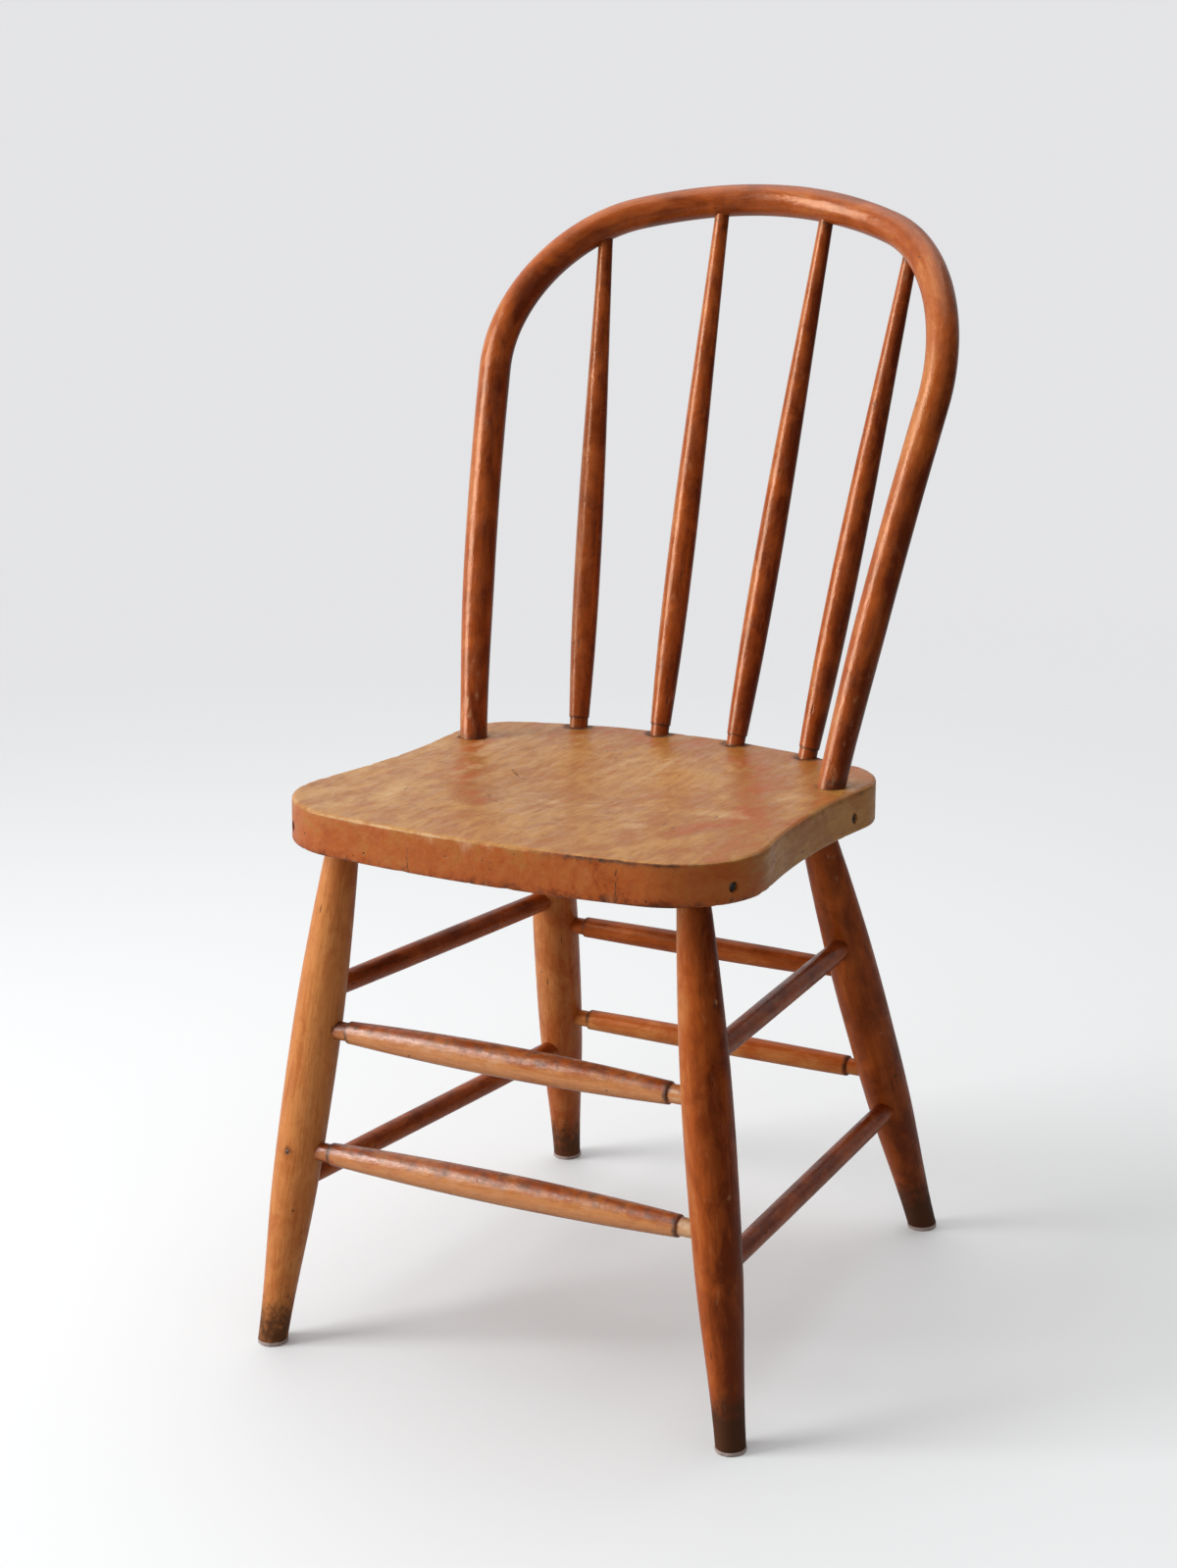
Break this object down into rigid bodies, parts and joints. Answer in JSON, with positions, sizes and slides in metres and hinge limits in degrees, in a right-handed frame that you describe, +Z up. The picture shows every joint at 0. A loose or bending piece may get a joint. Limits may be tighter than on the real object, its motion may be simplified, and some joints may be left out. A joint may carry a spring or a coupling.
{
  "type": "windsor chair",
  "caption": "Wooden hoop-back kitchen chair with a dished seat, a bent bow, turned spindles, splayed legs and double stretchers.",
  "frame": {"origin": "on the floor, under the middle of the whole chair's box", "axes": "+Z up, -Y is the way the chair faces, +X is to the right as seen from the front"},
  "size_m": [0.437, 0.5448, 0.8653],
  "materials": {
    "seat_wood": "worn varnish, satin",
    "leg_wood": "old varnish, satin",
    "stretcher_wood": "old varnish, satin",
    "bow_wood": "old varnish, semi-gloss",
    "spindle_wood": "old varnish, semi-gloss",
    "pad_felt": "matte",
    "steel": "dull, oxidised"
  },
  "bodies": {
    "root": {"bow": "bow_wood", "floor_pad_front_left": "pad_felt", "floor_pad_front_right": "pad_felt", "floor_pad_rear_left": "pad_felt", "floor_pad_rear_right": "pad_felt", "leg_front_left": "leg_wood", "leg_front_right": "leg_wood", "leg_rear_left": "leg_wood", "leg_rear_right": "leg_wood", "seat_board_left": "seat_wood", "seat_board_middle": "seat_wood", "seat_board_right": "seat_wood", "seat_edge_screws": "steel", "spindle_inner_left": "spindle_wood", "spindle_inner_right": "spindle_wood", "spindle_outer_left": "spindle_wood", "spindle_outer_right": "spindle_wood", "stretcher_front_lower": "stretcher_wood", "stretcher_front_upper": "stretcher_wood", "stretcher_left_lower": "stretcher_wood", "stretcher_left_upper": "stretcher_wood", "stretcher_nail": "steel", "stretcher_rear_lower": "stretcher_wood", "stretcher_rear_upper": "stretcher_wood", "stretcher_right_lower": "stretcher_wood", "stretcher_right_upper": "stretcher_wood"}
  },
  "joints": []
}
